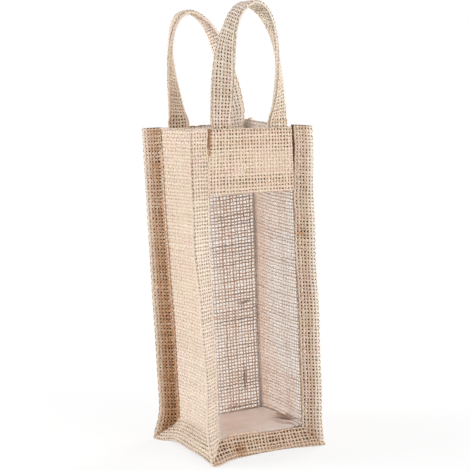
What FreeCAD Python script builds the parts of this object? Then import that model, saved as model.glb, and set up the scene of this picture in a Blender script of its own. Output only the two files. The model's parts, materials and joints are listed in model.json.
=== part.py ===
"""Jute bag for one bottle: four walls and a base joined by bound outward seams, a clear window, two straps.

Millimetres. Origin on the floor at the middle of the bag, +Z up, the window on the -Y side.
"""
import FreeCAD, Part
import math
import os

from FreeCAD import Rotation, Vector

# Inside of the bag
bay_width = 100.0
bay_depth = 100.0
bay_height = 320.0

# Sheet materials
cloth = 1.4
window_sheet_thickness = 0.4
lining_film = 0.25
binding_cloth = 1.4

# Seams that stand out at 45 degrees and the strips folded over them
seam_allowance = 19.5
binding_root_gap = 0.5
ground_flat = 0.5

# Hems and the band above the window
rim_hem = 22.0
band_height = 66.0
band_hem = 20.0
window_overlap = 12.0
hem_side_clearance = 0.3

# Strap handles
strap_width = 22.0
strap_thickness = 2.8
strap_inset = 5.0
handle_height = 126.0
outward_lean = 12.0
carry_angle = 18.0
sewn_length = 24.0
fold_height = 6.0
fold_gap = 0.5
hinge_clearance = 0.3
loop_sections = 15

# Derived places
flare = seam_allowance / math.sqrt(2)
fold_radius = cloth + binding_cloth
base_level = flare + fold_radius - ground_flat
rim_level = base_level + bay_height
band_bottom = rim_level - band_height
half_width = bay_width / 2
half_depth = bay_depth / 2
leg_reach = half_width - strap_inset - strap_width / 2
loop_rise = handle_height - fold_height - strap_thickness / 2
fold_level = rim_level + fold_height
strap_outer_y = -half_depth + cloth
strap_middle_y = strap_outer_y + strap_thickness / 2
overcut = 2.0
reach = 2 * (bay_width + bay_depth + bay_height)

# Turns that bring a wall drawn with its outside towards +Y onto its side of the bag
FACING = {
    "front": Rotation(Vector(0, 0, 1), 180),
    "back": Rotation(Vector(0, 0, 1), 0),
    "left": Rotation(Vector(0, 0, 1), 90),
    "right": Rotation(Vector(0, 0, 1), -90),
    "base": Rotation(Vector(1, 0, 0), -90),
}
OUTSET = {
    "front": Vector(0, -half_depth, 0),
    "back": Vector(0, half_depth, 0),
    "left": Vector(-half_width, 0, 0),
    "right": Vector(half_width, 0, 0),
    "base": Vector(0, 0, base_level),
}


def place(shape, side):
    """Moves a shape drawn against the plane y = 0 onto the inner face of one side of the bag."""
    shape.Placement = FreeCAD.Placement(OUTSET[side], FACING[side]).multiply(shape.Placement)
    return shape


def half_space(point, normal):
    """A block that fills the side of a plane that the normal points to."""
    block = Part.makeBox(reach, reach, reach, Vector(-reach / 2, -reach / 2, 0))
    block.Placement = FreeCAD.Placement(point, Rotation(Vector(0, 0, 1), normal))
    return block


def block_between(x, y, z):
    """A box from three pairs of low and high sides."""
    size = [high - low for low, high in (x, y, z)]
    return Part.makeBox(*size, Vector(x[0], y[0], z[0]))


def frustum(near, far, half_near, half_far, z_near, z_far):
    """A solid between a rectangle in the plane y = near and another in the plane y = far."""
    return Part.makeWedge(
        -half_near, near, z_near[0], z_far[0], -half_far,
        half_near, far, z_near[1], z_far[1], half_far,
    )


def wall(half, low, high, thickness, open_rim):
    """A sheet with its inner face on y = 0 and a seam flange at 45 degrees along each sewn edge.

    The flanges' inner faces lie on the planes that halve the corners, so neighbours meet face to face.
    """
    rise = 0 if open_rim else flare
    body = frustum(0, flare, half, half + flare, (low, high), (low - flare, high + rise))
    end = flare + overcut
    root = thickness * (math.sqrt(2) - 1)
    tip = end - thickness * math.sqrt(2)
    top_near = high + overcut if open_rim else high - root
    top_far = high + overcut if open_rim else high + tip
    hollow = frustum(
        thickness, end, half - root, half + tip,
        (low + root, top_near), (low - tip, top_far),
    )
    return body.cut(hollow)


def hem(half, low, high, thickness):
    """The turned-in layer of a hem on a wall's inner face, mitred where two hems meet in a corner."""
    return frustum(-thickness, 0, half - thickness, half, (low, high), (low, high))


def hemmed_wall(half):
    """A cloth wall from the base seam to the rim, with its rim hem."""
    sheet = wall(half, base_level, rim_level, cloth, True)
    return sheet.fuse(hem(half, rim_level - rim_hem, rim_level, cloth)).removeSplitter()


def window_sheet():
    """The clear sheet, sewn in at its sides and foot, with its top edge held in the band's hem."""
    top = band_bottom + window_overlap
    return wall(half_width, base_level, top, window_sheet_thickness, True)


def front_band(window):
    """The cloth above the window: a rim hem, and a lower hem that closes over the window's edge."""
    sheet = place(wall(half_width, base_level, rim_level, cloth, True), "front")
    sheet = sheet.common(half_space(Vector(0, 0, band_bottom), Vector(0, 0, 1))).cut(window)
    rim = place(hem(half_width, rim_level - rim_hem, rim_level, cloth), "front")
    hem_half = half_width - lining_film - hem_side_clearance
    lower = block_between(
        (-hem_half, hem_half),
        (-half_depth, -half_depth + cloth),
        (band_bottom, band_bottom + band_hem),
    )
    return sheet.fuse([rim, lower]).removeSplitter()


def lining(half, low, high):
    """A thin film on a wall's inner face, mitred at its sides and foot."""
    foot = low + lining_film
    return frustum(-lining_film, 0, half - lining_film, half, (foot, high), (low, high))


def base_lining():
    """The film on the base, mitred against the films of the walls."""
    near = half_depth - lining_film
    return frustum(
        -lining_film, 0, half_width - lining_film, half_width,
        (-near, near), (-half_depth, half_depth),
    )


def binding_profile():
    """The section of a strip folded over a seam: two leaves and a round outer fold, along +X."""
    root = binding_root_gap + cloth * (math.sqrt(2) - 1)
    outer, inner, end = fold_radius, cloth, seam_allowance
    corners = [
        (end, -outer), (root, -outer), (root, -inner), (end, -inner),
        (end, inner), (root, inner), (root, outer), (end, outer),
    ]
    points = [Vector(along, across, 0) for along, across in corners]
    edges = [Part.LineSegment(a, b).toShape() for a, b in zip(points, points[1:])]
    edges.append(Part.Arc(points[-1], Vector(end + outer, 0, 0), points[0]).toShape())
    return Part.Face(Part.Wire(edges))


def binding(corner, outward, along, length):
    """A folded strip of a given length, centred on a seam through the corner point."""
    across = along.cross(outward)
    turn = FreeCAD.Matrix(
        outward.x, across.x, along.x, 0,
        outward.y, across.y, along.y, 0,
        outward.z, across.z, along.z, 0,
        0, 0, 0, 1,
    )
    strip = binding_profile().extrude(Vector(0, 0, length))
    strip.translate(Vector(0, 0, -length / 2))
    strip.Placement = FreeCAD.Placement(turn).multiply(strip.Placement)
    strip.translate(corner)
    return strip


def beyond_mitre(corner, run, others):
    """The side of a corner's mitre planes where a strip that runs along one direction must end."""
    blocks = [half_space(corner, (run - other).normalize()) for other in others]
    return blocks[0].fuse(blocks[1:])


def corner_binding(x_side, y_side):
    """The upright strip on one corner of the bag, from the rim down to its mitre at the base."""
    x_out, y_out, down = Vector(x_side, 0, 0), Vector(0, y_side, 0), Vector(0, 0, -1)
    foot = Vector(x_side * half_width, y_side * half_depth, base_level)
    strip = binding(foot, (x_out + y_out).normalize(), Vector(0, 0, 1), 2 * bay_height)
    strip = strip.cut(beyond_mitre(foot, down, [x_out, y_out]))
    return strip.cut(half_space(Vector(0, 0, rim_level), Vector(0, 0, 1)))


def base_binding(out, half, run, half_run):
    """The strip along one side of the base, mitred at both ends and pressed flat on the floor."""
    down = Vector(0, 0, -1)
    middle = out * half + Vector(0, 0, base_level)
    strip = binding(middle, (out + down).normalize(), run, 2 * (half_run + reach / 4))
    for end in (run, run * -1):
        strip = strip.cut(beyond_mitre(middle + end * half_run, end, [out, down]))
    return strip.common(half_space(Vector(0, 0, 0), Vector(0, 0, 1)))


def loop_spot(turn):
    """A point of the strap's middle line in its own plane: half a turn runs from foot to foot.

    The legs leave the rim upright and close in over a narrow, rounded top.
    """
    return leg_reach * math.cos(turn), loop_rise * math.sin(turn) ** (2 / 3)


def even_turns(count):
    """Turns of loop_spot that cut the middle line into stretches of one length."""
    fine = 50 * count
    turns = [math.pi * step / fine for step in range(fine + 1)]
    spots = [loop_spot(turn) for turn in turns]
    run = [0.0]
    for a, b in zip(spots, spots[1:]):
        run.append(run[-1] + math.dist(a, b))
    wanted = [run[-1] * step / (count - 1) for step in range(count)]
    return [min(range(len(run)), key=lambda i: abs(run[i] - length)) * math.pi / fine for length in wanted]


def strap_section(spot, heading, rise):
    """The strap's rectangular section: flat against the bag at the foot, edge-on at the top of the loop."""
    outward = Vector(heading.z, 0, -heading.x)
    twist = math.pi / 2 * rise * rise * (3 - 2 * rise)
    facing = outward * math.sin(twist) - Vector(0, 1, 0) * math.cos(twist)
    side = heading.cross(facing) * (strap_width / 2)
    through = facing * (strap_thickness / 2)
    middle = Vector(spot[0], strap_middle_y, fold_level + spot[1])
    signs = [(-1, -1), (1, -1), (1, 1), (-1, 1), (-1, -1)]
    return Part.makePolygon([middle + side * a + through * b for a, b in signs])


def strap_loop():
    """The strap from foot to foot, upright, running straight down past each fold."""
    spots = [loop_spot(turn) for turn in even_turns(round(loop_sections))]
    spots = [(leg_reach, -overcut)] + spots + [(-leg_reach, -overcut)]
    sections = []
    for index, spot in enumerate(spots):
        before = spots[max(index - 1, 0)]
        after = spots[min(index + 1, len(spots) - 1)]
        heading = Vector(after[0] - before[0], 0, after[1] - before[1]).normalize()
        if spot[1] <= 0:
            heading = Vector(0, 0, math.copysign(1, spot[0]))
        sections.append(strap_section(spot, heading, max(spot[1], 0) / loop_rise))
    return Part.makeLoft(sections, True, False)


def front_handle():
    """The free loop of the front strap, leaning out, bevelled at each fold so that it can lean in as well."""
    lean = math.radians(carry_angle)
    fold = Vector(0, strap_outer_y, fold_level + fold_gap / 2)
    loop = strap_loop().cut(half_space(fold, Vector(0, math.sin(lean), -math.cos(lean))))
    loop.rotate(Vector(0, strap_outer_y - hinge_clearance, fold_level), Vector(1, 0, 0), outward_lean)
    return loop


def front_handle_ends():
    """The strap's two ends below the fold, sewn flat to the inside of the rim hem."""
    ends = []
    for middle in (-leg_reach, leg_reach):
        ends.append(
            block_between(
                (middle - strap_width / 2, middle + strap_width / 2),
                (strap_outer_y, strap_outer_y + strap_thickness),
                (rim_level - sewn_length, fold_level - fold_gap / 2),
            )
        )
    return Part.makeCompound(ends)


def behind(shape):
    """The same shape on the back of the bag."""
    return shape.mirror(Vector(0, 0, 0), Vector(0, 1, 0))


def all_pieces():
    """Every piece of the bag by name."""
    pieces = {}
    pieces["window_sheet"] = place(window_sheet(), "front")
    pieces["front_band"] = front_band(pieces["window_sheet"])
    pieces["back_panel"] = place(hemmed_wall(half_width), "back")
    pieces["left_side_panel"] = place(hemmed_wall(half_depth), "left")
    pieces["right_side_panel"] = place(hemmed_wall(half_depth), "right")
    pieces["base_panel"] = place(wall(half_width, -half_depth, half_depth, cloth, False), "base")

    film_top = rim_level - rim_hem
    pieces["back_film"] = place(lining(half_width, base_level, film_top), "back")
    pieces["left_film"] = place(lining(half_depth, base_level, film_top), "left")
    pieces["right_film"] = place(lining(half_depth, base_level, film_top), "right")
    pieces["base_film"] = place(base_lining(), "base")

    for y_name, y_side in (("front", -1), ("back", 1)):
        for x_name, x_side in (("left", -1), ("right", 1)):
            pieces[f"{y_name}_{x_name}_binding"] = corner_binding(x_side, y_side)
        out = Vector(0, y_side, 0)
        pieces[f"{y_name}_base_binding"] = base_binding(out, half_depth, Vector(1, 0, 0), half_width)
    for x_name, x_side in (("left", -1), ("right", 1)):
        out = Vector(x_side, 0, 0)
        pieces[f"{x_name}_base_binding"] = base_binding(out, half_width, Vector(0, 1, 0), half_depth)

    pieces["front_handle"] = front_handle()
    pieces["front_handle_ends"] = front_handle_ends()
    pieces["back_handle"] = behind(pieces["front_handle"])
    pieces["back_handle_ends"] = behind(pieces["front_handle_ends"])
    return pieces


os.makedirs("parts", exist_ok=True)
for name, shape in all_pieces().items():
    shape.exportStep(f"parts/{name}.step")
    box = shape.BoundBox
    print(
        f"{name}: {len(shape.Solids)} solids, {shape.Volume:.1f} mm3, valid {shape.isValid()},",
        f"x {box.XMin:.2f}..{box.XMax:.2f} y {box.YMin:.2f}..{box.YMax:.2f} z {box.ZMin:.2f}..{box.ZMax:.2f}",
    )
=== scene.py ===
import json
import math
from collections import namedtuple

import bpy
import numpy as np
from mathutils import Matrix, Vector


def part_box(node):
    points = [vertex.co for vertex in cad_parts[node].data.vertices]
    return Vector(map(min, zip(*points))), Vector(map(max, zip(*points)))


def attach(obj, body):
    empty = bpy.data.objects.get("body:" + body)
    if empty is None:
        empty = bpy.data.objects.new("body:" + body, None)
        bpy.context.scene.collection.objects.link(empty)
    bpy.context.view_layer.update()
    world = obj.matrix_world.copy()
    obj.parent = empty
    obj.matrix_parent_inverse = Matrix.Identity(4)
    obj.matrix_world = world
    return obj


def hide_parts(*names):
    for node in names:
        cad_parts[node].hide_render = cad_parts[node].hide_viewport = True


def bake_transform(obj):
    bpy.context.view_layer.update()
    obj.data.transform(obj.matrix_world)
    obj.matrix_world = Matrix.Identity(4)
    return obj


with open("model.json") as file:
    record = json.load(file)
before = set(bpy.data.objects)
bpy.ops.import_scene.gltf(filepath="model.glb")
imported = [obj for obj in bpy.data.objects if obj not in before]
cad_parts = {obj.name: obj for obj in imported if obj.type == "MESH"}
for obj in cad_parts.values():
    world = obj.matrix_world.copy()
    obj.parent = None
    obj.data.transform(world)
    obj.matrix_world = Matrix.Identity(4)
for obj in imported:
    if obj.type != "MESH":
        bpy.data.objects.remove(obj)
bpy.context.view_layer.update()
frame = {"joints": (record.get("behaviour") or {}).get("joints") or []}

MM = 0.001

# The bag's planes, as the frame has them
HALF_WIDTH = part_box("back_film")[1].x
HALF_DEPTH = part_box("left_film")[1].y
BASE_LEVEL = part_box("back_film")[0].z
RIM_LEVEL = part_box("back_panel")[1].z
BAND_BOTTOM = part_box("front_band")[0].z
WINDOW_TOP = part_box("window_sheet")[1].z
FILM_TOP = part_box("back_film")[1].z
CLOTH = HALF_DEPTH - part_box("back_panel")[0].y
RIM_HEM = RIM_LEVEL - FILM_TOP
BAND_HEM = 20 * MM

# The seams' fins and the strips folded over them
FIN_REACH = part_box("front_right_binding")[1].x - HALF_WIDTH - 2 * CLOTH
FIN_LENGTH = FIN_REACH * math.sqrt(2)
FOLD_RADIUS = 1.7 * MM
CORE_RADIUS = 0.8 * MM
FOLD_RUN = math.pi / 2 * FOLD_RADIUS
LEAF_TAIL = 4.3 * MM
CORE_STOP = 0.8 * MM
CREASE_DROP = 26 * MM
MITRE_LAP = 0.8 * MM
WIDE_LAP = 3 * MM
FIN_MARGIN = 4.5 * MM
FIN_WAVER = 0.8 * MM
FIN_SWAY = np.radians(4)
TIGHT_BEND = 1.5 * MM
WALL_FLARE = 1.5 * MM
WALL_FLARE_RUN = 3 * MM
BASE_BEND = 3 * MM
BASE_FACE_BENDS = {"front": 2 * MM, "back": 2 * MM, "left": 8 * MM, "right": 2 * MM}

# Straps
STRAP_WIDTH = 22 * MM
STRAP_THICKNESS = 2.8 * MM
STRAP_MARGIN = 2.5 * MM
STRAP_PUFF = 1.9
FOLD_LEVEL = frame["joints"][0]["pos_m"][2]
SEWN_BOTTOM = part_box("front_handle_ends")[0].z
STRAP_MIDDLE = -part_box("front_handle_ends")[0].y - STRAP_THICKNESS / 2
LEG_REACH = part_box("front_handle_ends")[1].x - STRAP_WIDTH / 2
ARCH_SPOTS = 721
ARCH_POWER = 2 / 3
LEG_SPOTS = 40
STRAP_EASE = 0.2 * MM
STRAP_SPREAD = 0.6 * MM
STRAP_INSET = 0.6 * MM

# Films, hidden layers and the window: their places off the cloth, and the steps of their meshes
FILM_OFFSET = 0.25 * MM
WINDOW_OFFSET = 0.2 * MM
BASE_FILM_RISE = 0.6 * MM
HEM_MARGIN = 1 * MM
HAZE_RUN = 4 * MM
WALL_STEP = 4 * MM
BINDING_STEP = 2 * MM
FINE_STEP = 1.5 * MM
BASE_STEP = 0.7 * MM
END_STEP = 0.6 * MM
END_DROP = 0.5 * MM

# Jute yarn: slubs, fibres and loose ends have sizes drawn between two limits in mm
PITCH = 3.6 * MM
SIDES = 6
TWIST = 150
ROW_SHIFT = 0.37
Yarn = namedtuple("Yarn", "width thickness uneven mottle wet", defaults=(0.84 * MM, 0.7, 0.35, 0))
FULL_YARN = Yarn(2.4 * MM)
DENSE_YARN = Yarn(2.9 * MM, 0.6 * MM)
OPEN_YARN = Yarn(1.95 * MM, uneven=0.9)
AIRY_YARN = Yarn(2.25 * MM)
# The yarns pressed to a film are darker on their inner side: partly the film's wetted look, partly painted
# shade.
PRESSED_YARN = Yarn(1.7 * MM, 0.45 * MM, uneven=0.9, mottle=0.9, wet=1.6)
FINE_YARN = Yarn(1.3 * MM, 0.45 * MM, uneven=0.9, mottle=0.9, wet=1.0)

DRIFT_WAVES = ((0.5, 70 * MM), (0.35, 19 * MM), (0.35, 8 * MM))
SLUB_SHARE = 0.12
SLUB_LENGTH = (3, 12)
FIBRE_LENGTH = (2, 6)
FIBRE_WIDTH = 0.16 * MM
WALL_FIBRES = 500
STRIP_FIBRES = 350
TUFT_LIFT = (0.3, 1.6)
TUFT_RADIUS = 0.45 * MM

# Sewing thread
STITCH_PITCH = 4.2 * MM
STITCH_LENGTH = 3.0 * MM
STITCH_LIFT = np.array([-0.7, 0.55, 0.8, 0.55, -0.7]) * MM
THREAD_WIDTH = 0.6 * MM
SEAM_FROM_EDGE = 2 * MM
SEAM_FROM_ROOT = 5 * MM

# How the soft bag stands: a little twisted, its foot raised between the corners.
# Shifts to the right at the foot and the rim and the rim's rise, in mm: plain, by x, by y and by both
FOOT_SHIFT = (0.4, 0.7, 2.2, 0)
RIM_SHIFT = (-0.3, -0.3, -1.7, 1.6)
RIM_RISE = (0, -0.9, 0, 1.8)
FIN_SHARE = 1.3
FRONT_LIFT = 4 * MM
BACK_SAG = 2 * MM
SIDE_LIFT = 2.5 * MM
FOOT_FADE = 40 * MM
WALL_SAG = 1.6 * MM
LEFT_SAG = 2.0 * MM
CORNER_BULGE = 5 * MM
FRONT_BULGE = 3 * MM

# Waves up a seam: share, length and turn with the phase
WAVES = ((0.6, 37 * MM, 1.7), (0.4, 14 * MM, 2.9))

# The mitred corners of the foot, pulled out into ears
EAR_SPOT = HALF_WIDTH + FIN_REACH
EAR_SIZE = 14 * MM
EARS = ((-1, -1, (-1, -10, -4)), (1, -1, (-2, -7, 0)), (-1, 1, (-11, -4, -1)), (1, 1, (3, 3, 0)))

# The puckered corner of the base. Its tangles: long and wide spread, yarns, tone, seed and radius
PUCKER_SPOT = (0.86 * HALF_WIDTH, -0.54 * HALF_DEPTH)
PUCKER_SIZE = (7 * MM, 24 * MM)
PUCKER_RISE = 7 * MM
RIDGE_WAVE = 0.85 * MM
RIDGE_SWAY = 6 * MM
TANGLE_LIFT = 1.5 * MM
TANGLES = {
    "base_tangle": ((3 * MM, -17 * MM, 0), (-6 * MM, 0, 0), 12, -1.9, 80, 0.75 * MM),
    # The pale tangle of loose ends stands in for highlights on the crumpled corner: painted highlight.
    "base_tangle_highlights": ((2 * MM, -12 * MM, 0), (-4 * MM, 0, 0), 6, 0.6, 83, 0.7 * MM),
}

# The painted reflection on the right wall's film, a paler oval, from the window and the base: its middle
# and half sizes
REFLECTION_OVAL = (22 * MM, 130 * MM)
REFLECTION_OVAL_SIZE = (44 * MM, 78 * MM)
CORNER_LINE = 2 * MM

# Tangled spots in the back wall's yarns: place across and up, long and wide spread, yarns, seed
LUMP_TONE = -2
LUMP_DEPTH = 0.5 * MM
LUMPS = {
    "back_lump_level": ((32 * MM, 138 * MM), (11 * MM, 0, 0), (0, 0, 1.6 * MM), 9, 81),
    "back_lump_upright": ((31 * MM, 52 * MM), (0, 0, 15 * MM), (-1.4 * MM, 0, 0), 8, 82),
}

# The photograph's camera, and the lamps: place, size and power
CAMERA_PLACE = (-0.7521, -1.4748, 0.4720)
CAMERA_LENS = 122.25
CAMERA_SENSOR = 36.0
CAMERA_YAW = math.radians(27.14)
CAMERA_PITCH = math.radians(-8.61)
CAMERA_ROLL = math.radians(-2.62)
LAMP_AIM = (0, 0, 0.2)
LAMPS = {
    "key": ((-1.35, 0.85, 0.75), 0.9, 21.8),
    "fill": ((0.5, -1.65, 0.7), 1.2, 21),
    "side": ((1.45, 0.55, 0.4), 1.0, 20.5),
}
FLOOR_SIZE = 4.0

Shape = namedtuple("Shape", "surface width length keep", defaults=(None,))


def unit(vectors):
    """Vectors of length one."""
    return vectors / np.maximum(np.linalg.norm(vectors, axis=-1, keepdims=True), 1e-12)


def smooth(share):
    """A share from 0 to 1 with a gentle start and end."""
    share = np.clip(share, 0, 1)
    return share * share * (3 - 2 * share)


def above(value, start, over):
    """0 up to a start in mm, then rising to 1 over a stretch in mm."""
    return smooth((value / MM - start) / over)


def below(value, end, over):
    """1, then falling over a stretch in mm to 0 at an end in mm."""
    return smooth((end - value / MM) / over)


def near(value, middle, size):
    """1 at a middle in mm, falling off on both sides over a size in mm."""
    return np.exp(-((value / MM - middle) / size) ** 2)


def at(value, u, v):
    """A number, or a function's value at u and v."""
    return value(u, v) if callable(value) else value


def kept_spots(shape, u, v):
    """Where a shape has cloth: everywhere, unless it says where."""
    return np.ones_like(u, bool) if shape.keep is None else shape.keep(u, v)


def waver(level, phase):
    """A slow uneven wave up a seam, between about -1 and 1."""
    return sum(share * np.sin(level / length + turn * phase) for share, length, turn in WAVES)


def leaning(shares, across, deep):
    """A shift from its shares: plain, by x, by y and by both."""
    plain, by_across, by_deep, by_both = shares
    return (plain + by_across * across + by_deep * deep + by_both * across * deep) * MM


def settled(points):
    """Points of the neat bag moved to where the soft bag holds them."""
    across = np.clip(points[..., 0] / HALF_WIDTH, -FIN_SHARE, FIN_SHARE)
    deep = np.clip(points[..., 1] / HALF_DEPTH, -FIN_SHARE, FIN_SHARE)
    height = np.maximum(points[..., 2] - BASE_LEVEL, 0)
    rise = np.clip(height / (RIM_LEVEL - BASE_LEVEL), 0, 1)
    mid_width = np.clip(1 - across ** 2, 0, 1)
    mid_depth = np.clip(1 - deep ** 2, 0, 1)
    foot_shift = leaning(FOOT_SHIFT, across, deep)
    rim_shift = leaning(RIM_SHIFT, across, deep)
    rim_rise = leaning(RIM_RISE, across, deep) - BACK_SAG * mid_width * np.clip(deep, 0, 1)
    front_lift = FRONT_LIFT * np.sqrt(np.clip(0.5 - 0.5 * across, 0, 1)) * np.clip(-deep, 0, 1) ** 2
    side_lift = SIDE_LIFT * mid_depth * (1 + 0.5 * deep) * np.clip(np.abs(across), 0, 1) ** 2
    belly = np.sin(math.pi * rise)
    side_sag = WALL_SAG * (1 + 0.6 * waver(points[..., 2], 2 + across)) + LEFT_SAG * (across < 0)
    flat_sag = WALL_SAG * (0.4 + 0.5 * waver(points[..., 2], 5 + deep))
    bulge = CORNER_BULGE * np.sin(math.pi * rise ** 2.2) * np.clip(across, 0, 1) * np.clip(deep, 0, 1)
    bulge -= FRONT_BULGE * np.sin(math.pi * rise ** 1.5) * np.clip(-across, 0, 1) * np.clip(-deep, 0, 1)
    moved = points.copy()
    moved[..., 0] += (1 - rise) * foot_shift + rise * rim_shift + bulge
    moved[..., 0] -= belly * mid_depth * across * side_sag
    moved[..., 1] -= belly * mid_width * deep * flat_sag
    moved[..., 2] += rise ** 1.5 * rim_rise + (front_lift + side_lift) * np.exp(-height / FOOT_FADE)
    for x_side, y_side, shift in EARS:
        tip = np.array([x_side * EAR_SPOT, y_side * EAR_SPOT, 0])
        close = np.exp(-((points - tip) ** 2).sum(axis=-1) / (2 * EAR_SIZE ** 2))
        moved += close[..., None] * np.array(shift) * MM
    return moved


def place_on(side, along, out, level):
    """Points on a side of the bag: along it to the right as seen from outside, out from its plane, up."""
    if side in ("front", "back"):
        sign = -1 if side == "front" else 1
        return np.stack([-sign * along, sign * (HALF_DEPTH + out), level], axis=-1)
    sign = -1 if side == "left" else 1
    return np.stack([sign * (HALF_WIDTH + out), sign * along, level], axis=-1)


def over_rim(run, straight):
    """Distance out and level of cloth that goes up the wall, over the rim and down inside its hem."""
    bend = CLOTH / 2
    top = RIM_LEVEL - bend
    turn = np.clip((run - straight) / bend, 0, math.pi)
    after = np.maximum(run - straight - math.pi * bend, 0)
    before = np.minimum(run - straight, 0)
    return bend * np.cos(turn), top + before + bend * np.sin(turn) - after


def wall_shape(side, half):
    """A cloth wall with its rim hem, spread out by u along the seam at its foot and v upwards."""
    straight = RIM_LEVEL - BASE_LEVEL - CLOTH / 2

    def surface(u, v):
        out, level = over_rim(v, straight)
        along = u - half
        edge = np.exp(-(half - np.abs(along)) / WALL_FLARE_RUN) * WALL_FLARE
        out = out + np.where(v < straight - RIM_HEM, edge, 0)
        return settled(place_on(side, along, out, level))

    return Shape(surface, 2 * half, straight + math.pi * CLOTH / 2 + RIM_HEM)


BAND_BEND = CLOTH / 2
BAND_FACE = RIM_LEVEL - BAND_BOTTOM - 2 * BAND_BEND
BAND_FACE_START = BAND_HEM + math.pi * BAND_BEND


def band_shape():
    """The band: down inside its lower hem, up its face, over the rim and down inside the rim hem."""
    def surface(u, v):
        out, level = over_rim(v - BAND_FACE_START, BAND_FACE)
        turn = np.clip((v - BAND_HEM) / BAND_BEND, 0, math.pi)
        low_out = -BAND_BEND * np.cos(turn)
        low_level = BAND_BOTTOM + BAND_BEND - BAND_BEND * np.sin(turn) + np.maximum(BAND_HEM - v, 0)
        out = np.where(v < BAND_FACE_START, low_out, out)
        level = np.where(v < BAND_FACE_START, low_level, level)
        return settled(place_on("front", u - HALF_WIDTH, out, level))

    return Shape(surface, 2 * HALF_WIDTH, BAND_FACE_START + BAND_FACE + math.pi * BAND_BEND + RIM_HEM)


def flat_shape(side, half, low, height, out):
    """A flat sheet beside one wall."""
    def surface(u, v):
        return settled(place_on(side, u - half, np.full_like(u, out), low + v))

    return Shape(surface, 2 * half, height)


def strip_section(run, turn, ease, length, radius):
    """A strip folded over a fin: distance along the fin and off its middle, from the run off the fold."""
    side = np.sign(run)
    run = np.abs(run)
    quarter = math.pi / 2 * radius
    tangent = (radius + ease) * np.tan(turn / 2)
    fold = np.clip(run, 0, quarter) / radius
    flat = np.clip(run - quarter, 0, length - tangent)
    bend = np.clip((run - quarter - (length - tangent)) / ease, 0, turn)
    tail = np.maximum(run - quarter - (length - tangent) - ease * turn, 0)
    along = length + radius * np.cos(fold) - flat - ease * np.sin(bend) - tail * np.cos(turn)
    off = radius * np.sin(fold) + ease * (1 - np.cos(bend)) + tail * np.sin(turn)
    return along, side * off


ROOT_RUN = FOLD_RUN + FIN_LENGTH
LEAF_RUN = ROOT_RUN + LEAF_TAIL

Corner = namedtuple(
    "Corner", "x_side y_side angles bend top soft tail crease gap pale tone",
    defaults=(1, 0, 4 * MM, LEAF_TAIL, 0, 0, 0.0, 0.0),
)


def corner_strip(corner, core=False):
    """The upright strip on one corner, or the layers inside it.

    The fin's angle from the X axis changes from the rim to the base. Its side leaf bends softly onto the
    wall and ends in a tail. Beside the band an open crease runs down from the rim.
    """
    x_side, y_side, top = corner.x_side, corner.y_side, corner.top
    radius = CORE_RADIUS if core else FOLD_RADIUS
    height = RIM_LEVEL + top - BASE_LEVEL + FIN_REACH + FOLD_RADIUS
    foot = RIM_LEVEL + top - height

    def crease_at(level):
        open_down = above(level - RIM_LEVEL + corner.crease, -6, 12)
        return (corner.crease > 0) * open_down * (0.85 + 0.25 * waver(level, 7 + x_side))

    def section(u, angle, level):
        run = u - LEAF_RUN
        if not core:
            run = np.where(run > 0, run * (1 - crease_at(level) * corner.gap / ROOT_RUN), run)
        turn = np.where(run > 0, angle, math.pi / 2 - angle)
        ease = np.where(run > 0, TIGHT_BEND, corner.soft)
        length = FIN_LENGTH + waver(level, x_side + 2 * y_side) * FIN_WAVER
        return strip_section(run, turn, ease, length, radius)

    def surface(u, v):
        level = foot + v
        share = np.clip((level - BASE_LEVEL) / (RIM_LEVEL - BASE_LEVEL), 0, 1) ** corner.bend
        angle = np.radians(corner.angles[1] + (corner.angles[0] - corner.angles[1]) * share)
        angle += FIN_SWAY * waver(level, 3 + x_side - y_side)
        along, off = section(u, angle, level)
        x = x_side * (HALF_WIDTH + along * np.cos(angle) - off * np.sin(angle))
        y = y_side * (HALF_DEPTH + along * np.sin(angle) + off * np.cos(angle))
        return settled(np.stack([x, y, level], axis=-1))

    def keep(u, v):
        level = foot + v
        along, _ = section(u, np.full_like(u, math.pi / 4), level)
        run = u - LEAF_RUN
        mitred = BASE_LEVEL - level < along / math.sqrt(2) + MITRE_LAP
        if core:
            last = ROOT_RUN - CORE_STOP + corner.gap * crease_at(level)
            return mitred & (run > CORE_STOP - ROOT_RUN) & (run < last)
        return mitred & (run > -ROOT_RUN - corner.tail) & (run < ROOT_RUN)

    return Shape(surface, 2 * LEAF_RUN, height, keep)


def strip_end(shape):
    """The raw edges of the layers at an upright strip's top, from its fold to its root."""
    def surface(u, v):
        run = u + 0.5 * FOLD_RUN
        top = np.full_like(u, shape.length - END_DROP)
        share = (v / (2 * FOLD_RADIUS))[..., None]
        first, second = [shape.surface(LEAF_RUN + side * run, top) for side in (-1, 1)]
        return first * (1 - share) + second * share

    return Shape(surface, FIN_LENGTH, 2 * FOLD_RADIUS)


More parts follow.
